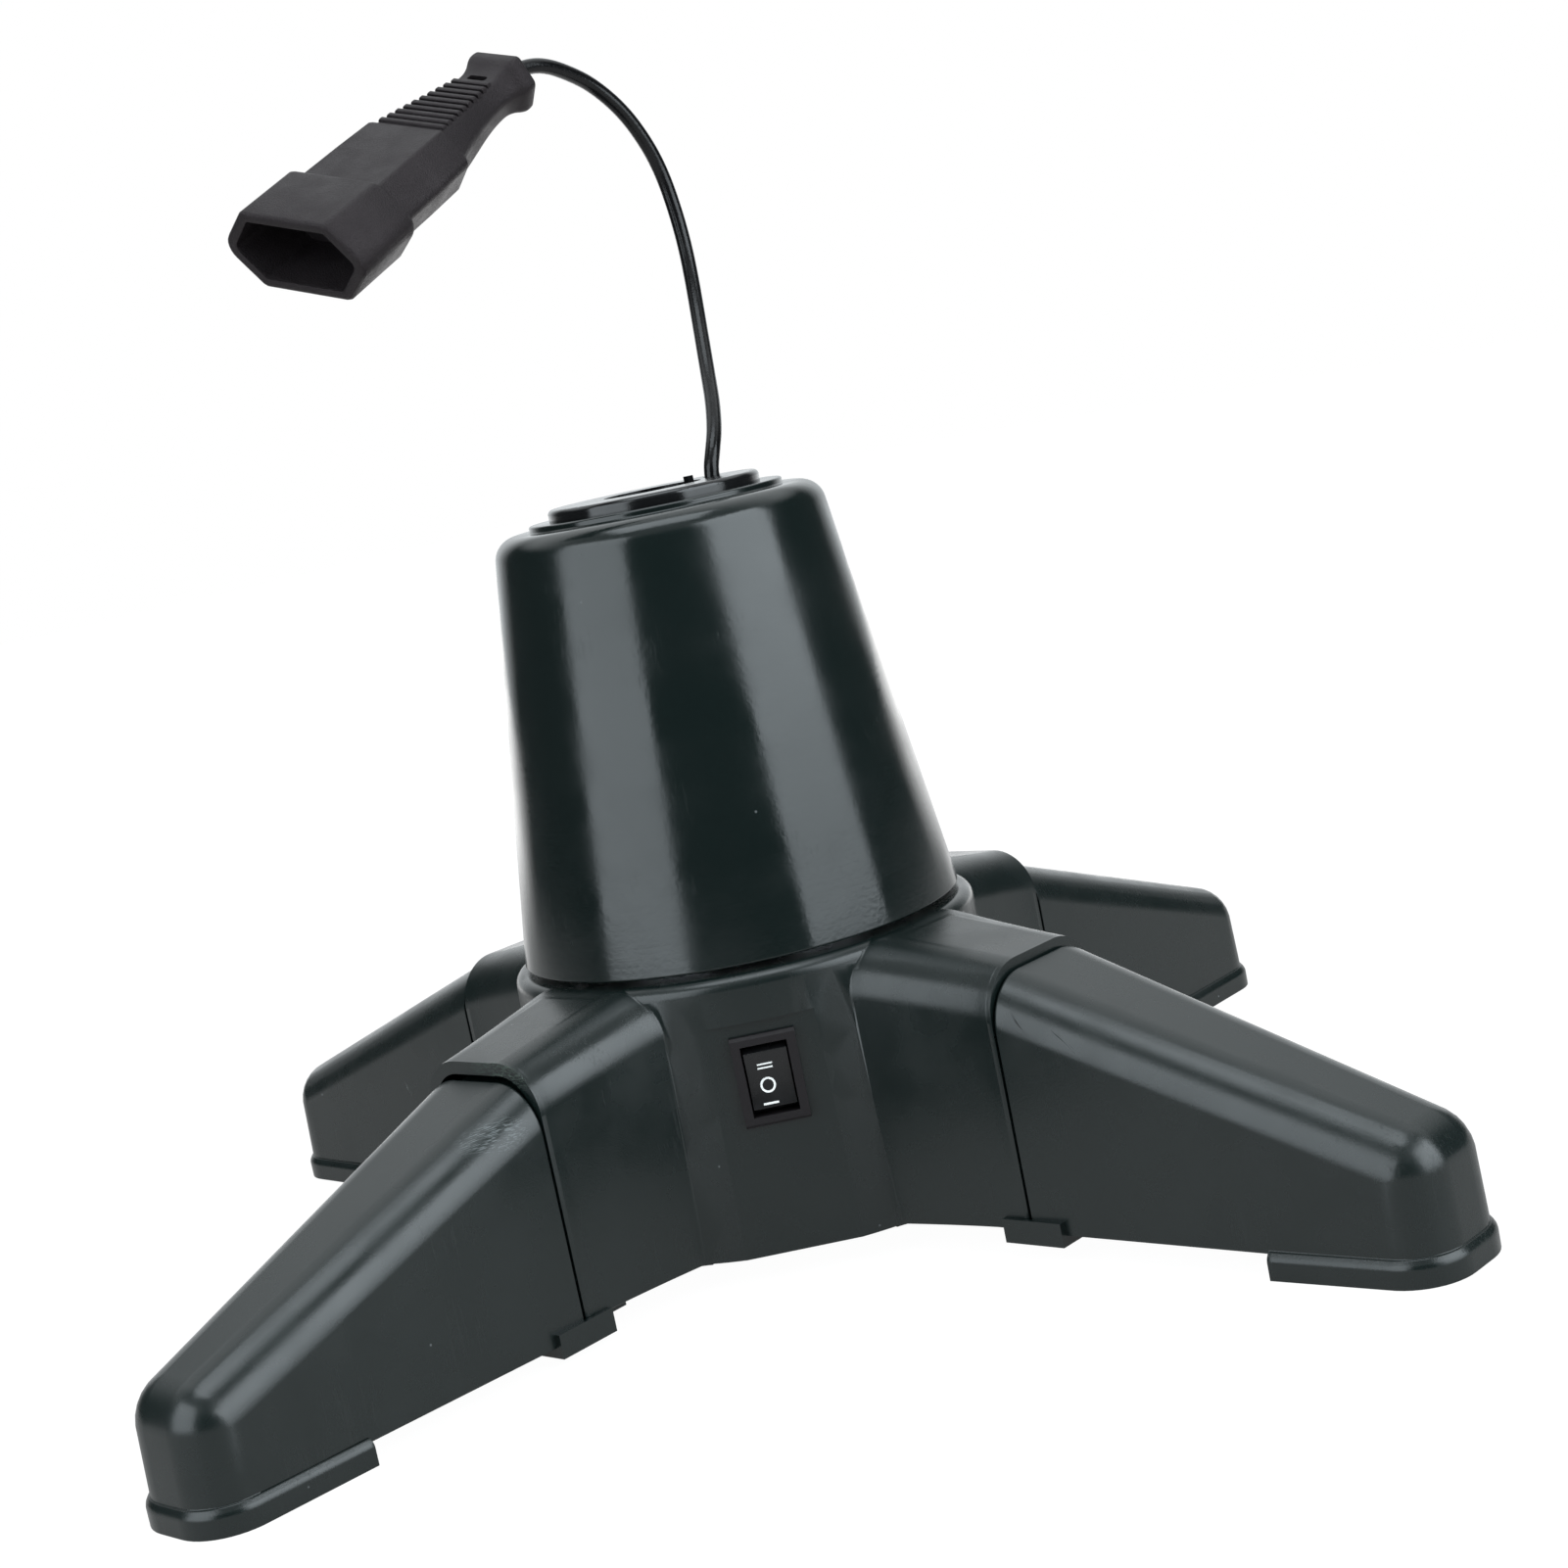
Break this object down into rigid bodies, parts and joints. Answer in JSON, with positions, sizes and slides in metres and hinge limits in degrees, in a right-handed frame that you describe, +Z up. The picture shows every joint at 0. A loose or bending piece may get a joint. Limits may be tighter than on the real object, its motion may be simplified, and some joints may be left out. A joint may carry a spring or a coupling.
{
  "type": "rotating tree stand",
  "caption": "Low four-legged stand that turns a small tree on a motor, with a cone over a pole socket, a three-way rocker switch and a lamp socket that turns with the pole",
  "frame": {"origin": "centre of the rotating axis on the floor, under the hub", "axes": "Z up along the rotating axis; the four legs lie along X and Y; the switch faces between +X and -Y"},
  "size_m": [0.383, 0.383, 0.2939],
  "materials": {
    "green_black_shell": "satin moulded plastic, dark green-black",
    "black_moulding": "moulded plastic, black",
    "black_socket": "fine-grained moulded plastic, black",
    "switch_black": "moulded plastic, black, satin",
    "lead_sheath": "extruded PVC sheath, black",
    "natural_nylon": "moulded nylon, natural",
    "white_terminal": "moulded plastic, white",
    "brown_phenolic": "moulded phenolic, brown",
    "zinc_steel": "zinc plated steel",
    "race_steel": "pressed and polished steel",
    "ball_steel": "polished bearing steel",
    "motor_steel": "zinc plated pressed steel",
    "contact_brass": "stamped and turned brass",
    "spring_bronze": "phosphor bronze strip"
  },
  "bodies": {
    "base": {"hub_housing": "green_black_shell", "bottom_cover": "green_black_shell", "cover_screws": "zinc_steel", "cable_gland": "black_moulding", "terminal_block": "white_terminal", "terminal_screws": "contact_brass", "switch_frame": "switch_black", "switch_terminals": "contact_brass", "motor_can": "motor_steel", "motor_plate": "motor_steel", "motor_screws": "zinc_steel", "brush_holder": "brown_phenolic", "brush_springs": "spring_bronze", "brush_screws": "zinc_steel", "lower_race": "race_steel", "front_left_leg": "green_black_shell", "front_right_leg": "green_black_shell", "back_left_leg": "green_black_shell", "back_right_leg": "green_black_shell"},
    "rotor": {"cone_cover": "green_black_shell", "pole_socket": "black_moulding", "turntable": "natural_nylon", "socket_screws": "zinc_steel", "upper_race": "race_steel", "drive_gear": "natural_nylon", "gear_screws": "zinc_steel", "slip_rings": "spring_bronze", "socket_lead": "lead_sheath", "lead_tie": "natural_nylon", "lamp_socket": "black_socket", "socket_contacts": "contact_brass"},
    "bearing_cage": {"ball_cage": "natural_nylon", "bearing_balls": "ball_steel"},
    "pinion": {"pinion": "natural_nylon", "motor_shaft": "zinc_steel"},
    "rocker": {"switch_rocker": "switch_black"}
  },
  "joints": [
    {"name": "rotor_spin", "type": "hinge", "parent": "base", "child": "rotor", "pos_m": [0, 0, 0], "axis": [0, 0, 1], "continuous": true},
    {"name": "cage_spin", "type": "hinge", "parent": "base", "child": "bearing_cage", "pos_m": [0, 0, 0.0757], "axis": [0, 0, 1], "continuous": true},
    {"name": "pinion_spin", "type": "hinge", "parent": "base", "child": "pinion", "pos_m": [-0.02546, 0.02546, 0.0605], "axis": [0, 0, 1], "continuous": true},
    {"name": "rocker_tilt", "type": "hinge", "parent": "base", "child": "rocker", "pos_m": [0.0381, -0.0381, 0.0477], "axis": [0.7071, 0.7071, 0], "range_deg": [-9, 9]}
  ],
  "couplings": [
    {"joint": "cage_spin", "follows": "rotor_spin", "ratio": 0.5},
    {"joint": "pinion_spin", "follows": "rotor_spin", "ratio": -3.5}
  ]
}
